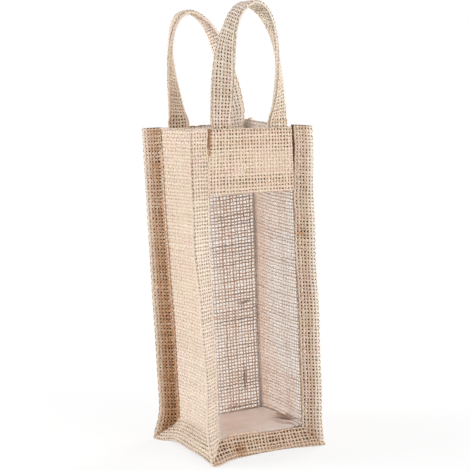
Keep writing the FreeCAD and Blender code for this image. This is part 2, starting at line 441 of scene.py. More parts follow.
def base_strip(side, half, angle_middle, core=False):
    """The strip along one side of the base, hanging at an angle below the base's plane, or its layers."""
    radius = CORE_RADIUS if core else FOLD_RADIUS
    reach = half + FIN_REACH + FOLD_RADIUS

    def angle_at(along):
        share = np.clip(np.abs(along) / half, 0, 1) ** 2
        return angle_middle + (math.pi / 4 - angle_middle) * share

    def section(u, angle):
        run = u - LEAF_RUN
        turn = np.where(run > 0, math.pi / 2 - angle, angle)
        ease = np.where(run > 0, BASE_FACE_BENDS[side], BASE_BEND)
        return strip_section(run, turn, ease, FIN_LENGTH, radius)

    def surface(u, v):
        place = v - reach
        angle = angle_at(place)
        along, off = section(u, angle)
        out = along * np.cos(angle) + off * np.sin(angle)
        level = BASE_LEVEL - along * np.sin(angle) + off * np.cos(angle)
        return settled(place_on(side, -place, out, level))

    def keep(u, v):
        along, _ = section(u, np.full_like(u, math.pi / 4))
        run = u - LEAF_RUN
        lap = np.where((v > reach) & (side == "front"), WIDE_LAP, MITRE_LAP)
        mitred = np.abs(v - reach) - half < along / math.sqrt(2) + lap
        if core:
            return mitred & (np.abs(run) < ROOT_RUN - CORE_STOP)
        if side == "left":
            return mitred & (run < LEAF_RUN)
        tail = LEAF_TAIL * near(v - reach, 22, 26) if side == "front" else 0
        return mitred & (run < ROOT_RUN + tail)

    return Shape(surface, 2 * LEAF_RUN, 2 * reach, keep)


def base_shape():
    """The base cloth, which looks down."""
    def surface(u, v):
        level = np.full_like(u, BASE_LEVEL - CLOTH / 2)
        return settled(np.stack([HALF_WIDTH - u, v - HALF_DEPTH, level], axis=-1))

    return Shape(surface, 2 * HALF_WIDTH, 2 * HALF_DEPTH)


def pucker(x, y):
    """How near a spot of the base is to its puckered corner, from 0 to 1."""
    far = ((x - PUCKER_SPOT[0]) / PUCKER_SIZE[0]) ** 2 + ((y - PUCKER_SPOT[1]) / PUCKER_SIZE[1]) ** 2
    return np.exp(-far)


def ridge(x, y):
    """How high a spot is between the valley, 0, and the top, 1, of the crumpled cloth's ridges."""
    return 0.5 + 0.5 * np.sin((x + 0.2 * y) / RIDGE_WAVE + 1.5 * np.sin(y / RIDGE_SWAY))


def base_film_shape():
    """The film on the base, creased where the corner is puckered."""
    def surface(u, v):
        x = u - HALF_WIDTH
        y = v - HALF_DEPTH
        level = BASE_LEVEL + BASE_FILM_RISE + PUCKER_RISE * pucker(x, y) * (0.35 + 0.65 * ridge(x, y))
        return settled(np.stack([x, y, level], axis=-1))

    return Shape(surface, 2 * HALF_WIDTH, 2 * HALF_DEPTH)


Strap = namedtuple("Strap", "name y_side rise reach lean swing late middle skew tip sway tones")


def strap_path(strap):
    """The strap's middle line from one sewn end to the other, with the direction its face looks in."""
    turn = np.linspace(0, math.pi, ARCH_SPOTS)
    straight = np.linspace(SEWN_BOTTOM - FOLD_LEVEL, 0, LEG_SPOTS)[:-1]
    legs = np.full(len(straight), strap.reach)
    still = np.zeros(len(straight))
    sideways = np.concatenate([still, np.sin(2 * turn), still])
    x = np.concatenate([legs, strap.reach * np.cos(turn), -legs])
    up = np.concatenate([straight, strap.rise * np.sin(turn) ** ARCH_POWER, straight[::-1]])
    share = np.clip(up / strap.rise, 0, 1)
    x += strap.skew * share ** 2
    heading = unit(np.stack([np.gradient(x), np.gradient(up)], axis=-1))
    late = share ** strap.late
    twist = math.pi / 2 * late
    twist += math.radians(strap.tip) * share ** 4 + math.radians(strap.sway) * sideways
    sine = np.sin(twist)
    face = np.stack([heading[:, 1] * sine, -np.cos(twist), -heading[:, 0] * sine], axis=-1)
    line = np.stack([x, np.zeros_like(x), up], axis=-1)
    face = turned(face, math.radians(strap.swing) * late, 0, 1)
    tilt = math.radians(strap.lean) * above(up, -5, 20)
    line = turned(line, tilt, 1, 2)
    face = turned(face, tilt, 1, 2)
    line += np.array([strap.middle, -STRAP_MIDDLE, FOLD_LEVEL])
    mirror = np.array([1, -strap.y_side, 1])
    return line * mirror, face * mirror


def turned(vectors, angle, first, second):
    """Vectors turned by an angle in the plane of two of their axes."""
    result = vectors.copy()
    result[:, first] = vectors[:, first] * np.cos(angle) - vectors[:, second] * np.sin(angle)
    result[:, second] = vectors[:, first] * np.sin(angle) + vectors[:, second] * np.cos(angle)
    return result


STRAP_BEND = (STRAP_THICKNESS - CLOTH) / 2 + STRAP_EASE
STRAP_FLAT = STRAP_WIDTH - 2 * STRAP_BEND + STRAP_SPREAD


def strap_shape(strap):
    """A flattened tube of cloth round the strap's middle line: u round it, v along it."""
    line, face = strap_path(strap)
    run = np.concatenate([[0], np.cumsum(np.linalg.norm(np.diff(line, axis=0), axis=1))])
    heading = unit(np.gradient(line, axis=0))
    across = unit(np.cross(heading, face))
    front = np.cross(across, heading)
    half = STRAP_FLAT / 2
    knots = np.cumsum([0, STRAP_FLAT, math.pi * STRAP_BEND, STRAP_FLAT, math.pi * STRAP_BEND])

    def along_line(v, values):
        return np.stack([np.interp(v, run, values[:, k]) for k in range(3)], axis=-1)

    def surface(u, v):
        u = np.mod(u, knots[-1])
        turn = np.interp(u, knots, (0, 0, math.pi, math.pi, 2 * math.pi))
        wide = np.interp(u, knots, (-half, half, half, -half, -half)) + STRAP_BEND * np.sin(turn)
        thick = STRAP_BEND * np.cos(turn)
        from_end = np.minimum(v, run[-1] - v)
        thick = thick * (1 + (STRAP_PUFF - 1) * above(from_end - FOLD_LEVEL + SEWN_BOTTOM, 0, 30))
        side = unit(along_line(v, across))
        outward = unit(along_line(v, front))
        return settled(along_line(v, line) + side * wide[..., None] + outward * thick[..., None])

    return Shape(surface, knots[-1], run[-1])


class Tubes:
    """Yarns gathered into one mesh, each with its own strip of the texture square."""

    def __init__(self, rows):
        self.rows = rows
        self.row = 0
        self.points = []
        self.faces = []
        self.square = []
        self.lengths = []
        self.shades = []
        self.count = 0

    def add(self, centre, normal, half_width, half_thick, shade, keep, wet=0.0):
        """Adds a family of yarns: one row of centres for each yarn. wet darkens their inner side: partly
        the film's wetted look, partly painted shade.
        """
        yarns, spots = centre.shape[:2]
        along = unit(np.gradient(centre, axis=1))
        across = unit(np.cross(normal, along))
        outward = np.cross(along, across)
        angle = np.arange(SIDES) * 2 * math.pi / SIDES
        ring = (
            centre[:, :, None, :]
            + across[:, :, None, :] * (half_width[:, :, None] * np.cos(angle))[..., None]
            + outward[:, :, None, :] * (half_thick[:, :, None] * np.sin(angle))[..., None]
        )
        index = np.arange(yarns * spots * SIDES).reshape(yarns, spots, SIDES) + self.count
        after = np.roll(index, -1, axis=2)
        quads = np.stack([index[:, :-1], after[:, :-1], after[:, 1:], index[:, 1:]], axis=-1)
        row = (self.row + np.arange(yarns))[:, None, None]
        side = np.arange(SIDES + 1) / SIDES
        steps = np.linalg.norm(np.diff(centre, axis=1), axis=2)
        run = np.concatenate([np.zeros((yarns, 1)), np.cumsum(steps, axis=1)], axis=1)[:, :, None]
        run = run + ROW_SHIFT * row
        square = self.corners(np.linspace(0, 1, spots)[:, None], (row + side) / self.rows)
        lengths = self.corners(run, side + TWIST * run)
        kept = np.repeat((keep[:, :-1] & keep[:, 1:])[:, :, None], SIDES, axis=2)
        self.points.append(ring.reshape(-1, 3))
        self.faces.append(quads[kept])
        self.square.append(square[kept])
        self.lengths.append(lengths[kept])
        self.shades.append((shade[:, :, None] + wet * np.minimum(np.sin(angle), 0)).reshape(-1))
        self.count += yarns * spots * SIDES
        self.row += yarns

    @staticmethod
    def corners(along, around):
        """The texture places of the four corners of each face."""
        grid = np.stack(np.broadcast_arrays(along, around), axis=-1)
        low, high = grid[:, :-1], grid[:, 1:]
        return np.stack([low[:, :, :-1], low[:, :, 1:], high[:, :, 1:], high[:, :, :-1]], axis=-2)

    def mesh(self, name):
        """The gathered yarns as a mesh without loose points."""
        used, faces = np.unique(np.concatenate(self.faces), return_inverse=True)
        mesh = new_mesh(name, np.concatenate(self.points)[used], faces.reshape(-1, 4))
        for layer, values in (("OFBake", self.square), ("Yarn", self.lengths)):
            uv = mesh.uv_layers.new(name=layer)
            uv.data.foreach_set("uv", np.concatenate(values).reshape(-1).astype(np.float32))
        shade = mesh.attributes.new("shade", "FLOAT", "POINT")
        shade.data.foreach_set("value", np.concatenate(self.shades)[used].astype(np.float32))
        return mesh


def new_mesh(name, points, faces):
    """A smooth mesh from arrays of points and faces."""
    mesh = bpy.data.meshes.new(name)
    points[:, 2] = np.maximum(points[:, 2], 0)
    mesh.from_pydata(points.tolist(), [], faces.tolist())
    mesh.shade_smooth()
    return mesh


def new_piece(name, mesh, material):
    """An object in the scene with one material."""
    piece = bpy.data.objects.new(name, mesh)
    bpy.context.scene.collection.objects.link(piece)
    piece.data.materials.append(material)
    return piece


def drift(draw, count, spots):
    """Slow random waves along each yarn, between about -1 and 1."""
    total = np.zeros((count, len(spots)))
    for share, wave in DRIFT_WAVES:
        stretch = wave * draw.uniform(0.7, 1.4, (count, 1))
        phase = draw.uniform(0, 2 * math.pi, (count, 1))
        total += share * np.sin(2 * math.pi * spots[None, :] / stretch + phase)
    return total


def slubs(draw, count, spots):
    """Thick lumps on a few of the yarns."""
    chosen = draw.random((count, 1)) < SLUB_SHARE
    middle = draw.uniform(spots[0], spots[-1], (count, 1))
    length = draw.uniform(*SLUB_LENGTH, (count, 1)) * MM
    return chosen * np.exp(-((spots[None, :] - middle) / length) ** 2)


def normals(surface, u, v):
    """The way a surface looks at the given spots."""
    step = 0.2 * MM
    by_u = surface(u + step, v) - surface(u - step, v)
    by_v = surface(u, v + step) - surface(u, v - step)
    return unit(np.cross(by_u, by_v))


def frayed(keep, closed):
    """Full width along each yarn and less at its cut ends."""
    padded = np.pad(keep, ((0, 0), (1, 1)), constant_values=closed)
    whole = padded[:, :-2] & keep & padded[:, 2:]
    return np.where(whole, 1.0, 0.5)


def woven(name, shape, material, seed, yarn=FULL_YARN, tone=0.0, wrapped=False, hem=math.inf):
    """Plain weave over a surface: two families of yarns that pass over and under each other.

    tone is a number or a function of u and v. From the run hem on, the cloth is double and denser, and its
    inner face is paler: painted light.
    """
    uneven = yarn.uneven
    draw = np.random.default_rng(seed)
    across = 2 * round(shape.width / PITCH / 2) if wrapped else round(shape.width / PITCH)
    up = round(shape.length / PITCH)
    u_pitch = shape.width / across
    v_pitch = shape.length / up
    tubes = Tubes(across + up)
    for family in ("warp", "weft"):
        if family == "warp":
            count, pitch, other, sign = across, u_pitch, v_pitch, 1
            spots = np.arange(2 * up + 1) * v_pitch / 2
        else:
            count, pitch, other, sign = up, v_pitch, u_pitch, -1
            spots = np.arange(2 * across + 1) * u_pitch / 2
        number = np.arange(count)[:, None]
        place = (number + 0.5) * pitch + 0.16 * uneven * pitch * drift(draw, count, spots)
        spread = np.broadcast_to(spots[None, :], place.shape)
        over = sign * np.where(number % 2 == 0, 1, -1) * np.cos(math.pi * (spread / other - 0.5))
        u, v = (place, spread) if family == "warp" else (spread, place)
        looks = normals(shape.surface, u, v)
        centre = shape.surface(u, v) + looks * (0.45 * yarn.thickness * over)[..., None]
        lump = slubs(draw, count, spots)
        own = np.clip(draw.normal(1, 0.16 * uneven, (count, 1)), 0.6, 1.5)
        thick = own * (1 + 0.18 * uneven * drift(draw, count, spots)) + 0.6 * uneven * lump
        shade = draw.normal(0, 0.6, (count, 1)) + 0.5 * drift(draw, count, spots) - 0.6 * lump
        double = above(v - hem, 0, 3)
        # The hem's inner face is painted lighter: painted light inside the rim.
        inside = above(v - hem - RIM_HEM, 0, 3)
        mottled = yarn.mottle * shade * (1 - 0.6 * double)
        # Yarn tops at the crossings are lighter and the dips darker: partly wear, partly painted light and
        # shade.
        shade = mottled + 0.45 * over + at(tone, u, v) + 0.1 * double + 1.7 * inside
        thick = thick * (1 + double * (DENSE_YARN.width / yarn.width - 1))
        keep = kept_spots(shape, u, v)
        ends = frayed(keep, wrapped and family == "weft")
        half_width = 0.5 * yarn.width * thick * ends
        half_thick = 0.5 * yarn.thickness * np.sqrt(thick) * ends
        tubes.add(centre, looks, half_width, half_thick, shade, keep, yarn.wet)
    return new_piece(name, tubes.mesh(name), material)


def strands(name, material, centre, looks, half, shade, keep):
    """A piece made of one family of round yarns."""
    tubes = Tubes(len(centre))
    tubes.add(centre, np.broadcast_to(looks, centre.shape), half, half, shade, keep)
    return new_piece(name, tubes.mesh(name), material)


def fibres(name, shape, count, material, seed):
    """Stray fibres that stand off a cloth."""
    draw = np.random.default_rng(seed)
    u = draw.uniform(0, shape.width, (count, 1))
    v = draw.uniform(0, shape.length, (count, 1))
    keep = kept_spots(shape, u, v)
    angle = draw.uniform(0, 2 * math.pi, (count, 1))
    step = 0.5 * MM
    root = shape.surface(u, v)
    heading = unit(shape.surface(u + step * np.cos(angle), v + step * np.sin(angle)) - root)
    looks = normals(shape.surface, u, v)
    sideways = np.cross(looks, heading)
    run = np.linspace(0, 1, 6)[None, :]
    length = draw.uniform(*FIBRE_LENGTH, (count, 1)) * MM
    rise = draw.uniform(0.2, 0.9, (count, 1))
    curl = draw.uniform(-0.5, 0.5, (count, 1))
    centre = root + heading * (length * run)[..., None]
    centre = centre + looks * (length * rise * run * (1.3 - 0.6 * run))[..., None]
    centre = centre + sideways * (length * curl * run ** 2)[..., None]
    half = 0.5 * FIBRE_WIDTH * (1 - 0.7 * run) * np.ones_like(u)
    return strands(name, material, centre, looks, half, np.full_like(half, 1.2), keep & (half > 0))


def tuft(name, middle, long, wide, count, tone, material, seed, radius=TUFT_RADIUS):
    """A tangle of loose yarn ends round a spot, spread along two vectors."""
    draw = np.random.default_rng(seed)
    run = np.linspace(-1, 1, 9)[None, :]
    along = 0.5 * draw.normal(0, 0.5, (count, 1)) + draw.uniform(0.3, 0.9, (count, 1)) * run
    bend = draw.uniform(-0.8, 0.8, (count, 1)) * (run ** 2 - 0.4)
    across = draw.normal(0, 0.5, (count, 1)) + draw.uniform(-0.5, 0.5, (count, 1)) * run + bend
    looks = unit(np.cross(np.array(long), np.array(wide)))
    lift = draw.uniform(*TUFT_LIFT, (count, 1)) * (1 - 0.7 * run ** 2) * MM
    centre = np.array(middle) + along[..., None] * np.array(long) + across[..., None] * np.array(wide)
    centre = centre + lift[..., None] * looks
    half = radius * draw.uniform(0.5, 1.1, (count, 1)) * (1 - 0.6 * run ** 2)
    shade = tone + 0.6 * draw.normal(0, 1, (count, 1)) * np.ones_like(run)
    return strands(name, material, settled(centre), looks, half, shade, half > 0)


def stitched(name, shape, rows, material):
    """Rows of stitches on a surface. Each row: the direction it runs in, its place, its start and end."""
    tubes = Tubes(sum(int((end - start) / STITCH_PITCH) for _, _, start, end in rows))
    for direction, place, start, end in rows:
        count = int((end - start) / STITCH_PITCH)
        run = start + np.arange(count)[:, None] * STITCH_PITCH
        run = run + np.linspace(0, STITCH_LENGTH, len(STITCH_LIFT))[None, :]
        fixed = np.full_like(run, place)
        u, v = (run, fixed) if direction == "u" else (fixed, run)
        looks = normals(shape.surface, u, v)
        centre = shape.surface(u, v) + looks * STITCH_LIFT[None, :, None]
        keep = kept_spots(shape, u, v)
        whole = np.broadcast_to(keep.all(axis=1, keepdims=True), keep.shape)
        half = np.full_like(u, THREAD_WIDTH / 2)
        tubes.add(centre, looks, half, half, np.full_like(u, 0.6), whole)
    return new_piece(name, tubes.mesh(name), material)


def plain_sheet(name, shape, step, material, share, inset=0.0):
    """A smooth sheet over a surface.

    share, a number or a function of u and v, says how much of its material's second look each spot has.
    """
    across = max(2, round(shape.width / step))
    up = max(2, round(shape.length / step))
    u, v = np.meshgrid(
        np.linspace(0, shape.width, across + 1), np.linspace(0, shape.length, up + 1), indexing="ij"
    )
    points = shape.surface(u, v)
    if inset:
        points = points - normals(shape.surface, u, v) * inset
    index = np.arange(u.size).reshape(u.shape)
    faces = np.stack([index[:-1, :-1], index[1:, :-1], index[1:, 1:], index[:-1, 1:]], axis=-1)
    faces = faces.reshape(-1, 4)
    kept = kept_spots(shape, u, v).reshape(-1)
    used, faces = np.unique(faces[kept[faces].all(axis=1)], return_inverse=True)
    faces = faces.reshape(-1, 4)
    mesh = new_mesh(name, points.reshape(-1, 3)[used], faces)
    square = np.stack([u / shape.width, v / shape.length], axis=-1).reshape(-1, 2)[used]
    uv = mesh.uv_layers.new(name="OFBake")
    uv.data.foreach_set("uv", square[faces].reshape(-1).astype(np.float32))
    shares = np.broadcast_to(at(share, u, v), u.shape)
    stored = mesh.attributes.new("share", "FLOAT", "POINT")
    stored.data.foreach_set("value", shares.reshape(-1)[used].astype(np.float32))
    return new_piece(name, mesh, material)


def new_material(name, look, *values):
    """A material with the look that a function makes in its node tree."""
    material = bpy.data.materials.new(name)
    material.use_nodes = True
    tree = material.node_tree
    tree.nodes.clear()
    output = tree.nodes.new("ShaderNodeOutputMaterial")
    tree.links.new(look(tree, *values), output.inputs["Surface"])
    return material


def node(tree, kind, values, output=0):
    """An output of a shader node whose inputs are set to numbers, colours or another node's output."""
    made = tree.nodes.new("ShaderNode" + kind)
    for name, value in values.items():
        fill(tree, made.inputs[name], value)
    return made.outputs[output]


def fill(tree, socket, value):
    """Sets an input to a value, or links it to an output."""
    if isinstance(value, bpy.types.NodeSocket):
        tree.links.new(value, socket)
    elif isinstance(value, tuple) and len(value) == 3 and socket.type == "RGBA":
        socket.default_value = (*value, 1)
    else:
        socket.default_value = value


def maths(tree, operation, *values):
    """The output of a math node."""
    made = tree.nodes.new("ShaderNodeMath")
    made.operation = operation
    for socket, value in zip(made.inputs, values):
        fill(tree, socket, value)
    return made.outputs["Value"]


def mixed(tree, share, first, second):
    """The output of two shaders mixed by a share of the second."""
    made = tree.nodes.new("ShaderNodeMixShader")
    for socket, value in zip(made.inputs, (share, first, second)):
        fill(tree, socket, value)
    return made.outputs["Shader"]


def ramp(tree, place, stops):
    """The colour output of a ramp made of pairs of place and colour."""
    made = tree.nodes.new("ShaderNodeValToRGB")
    elements = made.color_ramp.elements
    for spot, _ in stops[1:-1]:
        elements.new(spot)
    for element, (spot, colour) in zip(elements, stops):
        element.position = spot
        element.color = (*colour, 1)
    tree.links.new(place, made.inputs["Fac"])
    return made.outputs["Color"]


def attribute(tree, name):
    """A number stored on the mesh."""
    made = tree.nodes.new("ShaderNodeAttribute")
    made.attribute_name = name
    return made.outputs["Fac"]


def noise(tree, scale, detail, place=None):
    """A noise pattern in the object's own space, or at a given place."""
    if place is None:
        place = tree.nodes.new("ShaderNodeTexCoord").outputs["Object"]
    return node(tree, "TexNoise", {"Vector": place, "Scale": scale, "Detail": detail})


def bumped(tree, height, strength, distance):
    """A normal disturbed by a height."""
    return node(tree, "Bump", {"Strength": strength, "Distance": distance, "Height": height})


def tinted(tree, colour, tint):
    """A colour multiplied by another."""
    made = tree.nodes.new("ShaderNodeMix")
    made.data_type = "RGBA"
    made.blend_type = "MULTIPLY"
    made.inputs["Factor"].default_value = 1.0
    first, second = [socket for socket in made.inputs if socket.type == "RGBA"]
    tree.links.new(colour, first)
    tree.links.new(tint, second)
    return [socket for socket in made.outputs if socket.type == "RGBA"][0]


def gloss_share(tree, least, most):
    """A shine that grows at a slant, alike on both sides of a thin sheet."""
    facing = node(tree, "LayerWeight", {"Blend": 0.5}, "Facing")
    return maths(tree, "MULTIPLY_ADD", maths(tree, "POWER", facing, 4.0), most - least, least)


JUTE_DEEP = (0.20, 0.110, 0.060)
JUTE_DARK = (0.50, 0.262, 0.128)
JUTE_MIDDLE = (0.70, 0.560, 0.440)
JUTE_LIGHT = (0.85, 0.750, 0.650)
STRAW = (0.99, 1.0, 0.96)
BLUSH = (1.0, 0.965, 0.985)
FIBRE_STRETCH = (170, 8, 1)
PLAIN_CAST = (1, 1, 1)
# The pale cast cools the jute; on the back and right walls it also stands in for their greyer look in
# shade: painted shade.
PALE_CAST = (0.98, 1.05, 1.10)
# The hidden layers' colours: the dark one is painted shade, the pale and white ones painted light where
# light would pass.
LAYER_SHADE_DARK = (0.110, 0.058, 0.032)
LAYER_PALE = (0.68, 0.550, 0.440)
LAYER_LIT_WHITE = (0.92, 0.840, 0.750)
FILM_PINK = (0.95, 0.765, 0.670)
FILM_WHITE = (0.99, 0.965, 0.945)
FILM_CLEAR = (0.995, 0.94, 0.89)
PVC_CLEAR = (0.985, 0.985, 0.985)
PVC_HAZE = (0.90, 0.91, 0.92)
FLOOR_PINK = (0.78, 0.585, 0.490)
FLOOR_PALE = (0.98, 0.885, 0.815)
PUCKER_BROWN = (0.34, 0.125, 0.065)


def jute_look(tree, cast):
    """Twisted jute yarn: fibre streaks round each yarn, uneven colour from yarn to yarn, no shine."""
    straw, blush = [tuple(np.array(tint) * cast) for tint in (STRAW, BLUSH)]
    layer = tree.nodes.new("ShaderNodeUVMap")
    layer.uv_map = "Yarn"
    stretched = node(tree, "Mapping", {"Vector": layer.outputs["UV"], "Scale": FIBRE_STRETCH})
    fibre = noise(tree, 1.0, 3, stretched)
    spread = maths(tree, "MULTIPLY_ADD", attribute(tree, "shade"), 0.22, 0.27)
    tone = maths(tree, "MULTIPLY_ADD", fibre, 0.55, spread)
    stops = [(0.0, JUTE_DEEP), (0.2, JUTE_DARK), (0.52, JUTE_MIDDLE), (1.0, JUTE_LIGHT)]
    tint = ramp(tree, noise(tree, 45, 2), [(0.35, straw), (0.65, blush)])
    return node(tree, "BsdfPrincipled", {
        "Base Color": tinted(tree, ramp(tree, tone, stops), tint),
        "Roughness": 0.85, "Specular IOR Level": 0.25, "Sheen Weight": 0.12, "Sheen Roughness": 0.5,
        "Normal": bumped(tree, fibre, 0.35, 0.15 * MM),
    })


def layer_look(tree):
    """The cloth inside a hem, seam or strap, seen through the weave's gaps: near black as painted shade,
    paler by share as painted light.
    """
    speckle = maths(tree, "MULTIPLY_ADD", noise(tree, 330, 2), 0.5, -0.25)
    place = maths(tree, "MULTIPLY", maths(tree, "ADD", attribute(tree, "share"), speckle), 0.5)
    return node(tree, "BsdfPrincipled", {
        "Base Color": ramp(tree, place, [(0.0, LAYER_SHADE_DARK), (0.5, LAYER_PALE), (0.8, LAYER_LIT_WHITE)]),
        "Roughness": 0.95, "Specular IOR Level": 0.1,
    })


def thin_sheet(tree, share, clear, veil, behind, gloss, shine):
    """Clear, or veiled by share with a look that is lit from both sides, and shiny at a slant."""
    open_part = node(tree, "BsdfTransparent", {"Color": clear})
    sides = [node(tree, kind, veil) for kind in ("BsdfDiffuse", "BsdfTranslucent")]
    veiled = mixed(tree, share, open_part, mixed(tree, behind, *sides))
    return mixed(tree, gloss_share(tree, *shine), veiled, node(tree, "BsdfGlossy", gloss))


def film_look(tree):
    """Thin film: clear where its share is 0, then milky, then pinkish, with a soft shine and creases."""
    uneven = noise(tree, 34, 3)
    share = attribute(tree, "share")
    place = maths(tree, "MULTIPLY_ADD", uneven, 0.06, share)
    colour = ramp(tree, place, [(0.32, FILM_WHITE), (0.39, FILM_PINK)])
    normal = bumped(tree, uneven, 0.3, 0.6 * MM)
    veil = {"Color": colour, "Normal": normal}
    gloss = {"Roughness": 0.3, "Normal": normal}
    return thin_sheet(tree, share, FILM_CLEAR, veil, 0.65, gloss, (0.04, 0.5))


def floor_film_look(tree):
    """The film on the base: milky, with a soft shine, browner by share where the cloth is puckered, partly
    as painted shade.
    """
    uneven = noise(tree, 60, 4)
    smooth_share = maths(tree, "SUBTRACT", 0.6, attribute(tree, "share"))
    place = maths(tree, "MULTIPLY_ADD", uneven, 0.4, smooth_share)
    return node(tree, "BsdfPrincipled", {
        "Base Color": ramp(tree, place, [(0.0, PUCKER_BROWN), (0.6, FLOOR_PINK), (1.0, FLOOR_PALE)]),
        "Roughness": 0.24, "Specular IOR Level": 0.5,
        "Normal": bumped(tree, uneven, 0.25, 0.5 * MM),
    })


def clear_look(tree):
    """Clear soft PVC: hazy by share near its seams, with a reflection that grows at a slant."""
    normal = bumped(tree, noise(tree, 18, 2), 0.12, 1.0 * MM)
    gloss = {"Roughness": 0.08, "Normal": normal}
    share = attribute(tree, "share")
    return thin_sheet(tree, share, PVC_CLEAR, {"Color": PVC_HAZE}, 0.5, gloss, (0.09, 0.7))


jute = new_material("jute", jute_look, PLAIN_CAST)
pale_jute = new_material("pale_jute", jute_look, PALE_CAST)
inner_cloth = new_material("inner_cloth", layer_look)
wall_film = new_material("wall_film", film_look)
floor_film = new_material("floor_film", floor_film_look)
clear_pvc = new_material("clear_pvc", clear_look)


def on_bag(piece, slot, *nodes):
    """Fixes a piece to the bag's body and hides the nodes it stands for; its slot is not used."""
    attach(piece, "bag")
    if nodes:
        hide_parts(*nodes)
    return piece


def right_film_share(u, v):
    """How milky the right wall's film is: pinkish round a paler oval that is a painted reflection, and
    clear near the window.
    """
    across = np.abs(u - REFLECTION_OVAL[0]) / REFLECTION_OVAL_SIZE[0]
    upward = np.abs(v - REFLECTION_OVAL[1]) / REFLECTION_OVAL_SIZE[1]
    # The paler oval is a painted reflection on the film.
    pale = smooth((1.2 - across ** 2.5 - upward ** 2.5) / 0.4)
    milky = (0.37 - 0.08 * pale) * (0.15 + 0.85 * above(u, 7, 6))
    crease = near(u, 39, 2.5) * below(v, 50, 15)
    corner = np.exp(-(2 * HALF_DEPTH - u) / CORNER_LINE)
    return milky + 0.3 * crease + 0.6 * corner


def add_walls():
    """The three cloth walls with their films and hem stitches."""
    # Paler toward the bottom and the right; painted light on the last yarns at the right corner, which lie
    # in shade.
    def paler_low_lit_corner(u, v):
        lower = below(v, 200, 120) * (1 - 0.3 * u / HALF_WIDTH)
        return 0.6 * lower - 0.3 + 1.2 * below(u, 5, 4)

    # Painted light: the left wall is lighter toward the bottom.
    def lit(u, v):
        return 0.1 + 0.6 * below(v, 120, 100)

    # Painted light: the yarns are lighter at the front, under the film's painted reflection, and at the
    # back corner, which lies in shade.
    def lit_front_and_corner(u, v):
        return 0.9 + 0.5 * below(u, 60, 20) + 1.2 * below(2 * HALF_DEPTH - u, 5, 4)

    walls = (
        ("back", "back_panel", HALF_WIDTH, PRESSED_YARN, pale_jute, paler_low_lit_corner, 0.13),
        ("left", "left_side_panel", HALF_DEPTH, DENSE_YARN, jute, lit, 0.3),
        ("right", "right_side_panel", HALF_DEPTH, FINE_YARN, pale_jute, lit_front_and_corner, right_film_share),
    )
    seam = RIM_LEVEL - BASE_LEVEL - RIM_HEM + SEAM_FROM_EDGE
    for seed, (side, name, half, yarn, material, tone, share) in enumerate(walls):
        shape = wall_shape(side, half)
        hem = math.inf if side == "left" else seam
        cloth = woven(f"{side}_cloth", shape, material, 10 + seed, yarn, tone, hem=hem)
        on_bag(cloth, "jute_cloth", name)
        thread = stitched(f"{side}_hem_stitches", shape, [("u", seam, 0, shape.width)], jute)
        film_size = flat_shape(side, half, BASE_LEVEL, FILM_TOP - BASE_LEVEL, -FILM_OFFSET)
        film = plain_sheet(f"{side}_lining", film_size, WALL_STEP, wall_film, share)
        on_bag(film, "lining_film", f"{side}_film")
        extras = [thread, fibres(f"{side}_fibres", shape, WALL_FIBRES, jute, 70 + seed)]
        if side == "back":
            extras += back_lumps()
        for piece in extras:
            on_bag(piece, "jute_cloth")
        add_layer(f"{side}_rim_hem_layer", rim_hem(side, half), 1.0, cloth)


def back_lumps():
    """Two tangled spots in the back wall's yarns."""
    inside = HALF_DEPTH - LUMP_DEPTH
    return [
        tuft(name, (x, inside, level), long, wide, count, LUMP_TONE, jute, seed)
        for name, ((x, level), long, wide, count, seed) in LUMPS.items()
    ]


def rim_hem(side, half):
    """The turned-under cloth inside a rim hem."""
    return flat_shape(side, half, FILM_TOP + HEM_MARGIN, RIM_HEM - 2 * HEM_MARGIN, 0.0)


def add_layer(name, shape, share, *pieces):
    """One hidden layer inside the hem of a cloth; the pieces given with it are not used."""
    layer = on_bag(plain_sheet(name, shape, WALL_STEP, inner_cloth, share), "jute_cloth")


def add_band():
    """The band above the window, darker inside its hem where the strap's ends are sewn in."""
    shape = band_shape()
    top = BAND_FACE_START + BAND_FACE

    # Painted shade on the band's leftmost yarns, in the crease that runs down from the rim.
    def crease_shade(u, v):
        return -0.2 - 2.0 * below(u, 3.5, 2) * above(v - top + CREASE_DROP, -3, 6)

    cloth = on_bag(woven("band_cloth", shape, jute, 20, tone=crease_shade), "jute_cloth", "front_band")
    low = BAND_FACE_START + BAND_HEM - SEAM_FROM_EDGE
    high = top - RIM_HEM + SEAM_FROM_EDGE
    rows = [("u", place, 0, shape.width) for place in (low, high)]
    thread = on_bag(stitched("band_stitches", shape, rows, jute), "jute_cloth")

    def share(u, v):
        off_leg = np.abs(np.abs(u - HALF_WIDTH) - LEG_REACH) - STRAP_WIDTH / 2
        return 0.3 * above(off_leg, 0, 4)

    add_layer("front_rim_hem_layer", rim_hem("front", HALF_WIDTH), share, cloth, thread)
    hem = flat_shape("front", HALF_WIDTH, BAND_BOTTOM + HEM_MARGIN, BAND_HEM - 2 * HEM_MARGIN, 0.0)
    add_layer("band_hem_layer", hem, 0.15, cloth)


def add_window():
    """The clear sheet in the front, hazy along its left seam and its foot."""
    shape = flat_shape("front", HALF_WIDTH, BASE_LEVEL, WINDOW_TOP - BASE_LEVEL, WINDOW_OFFSET)

    def share(u, v):
        low = 0.3 * np.exp(-v / HAZE_RUN)
        left = 0.5 * np.exp(-u / HAZE_RUN)
        return np.maximum(low, left)

    sheet = plain_sheet("window", shape, FINE_STEP, clear_pvc, share)
    on_bag(sheet, "clear_sheet", "window_sheet")


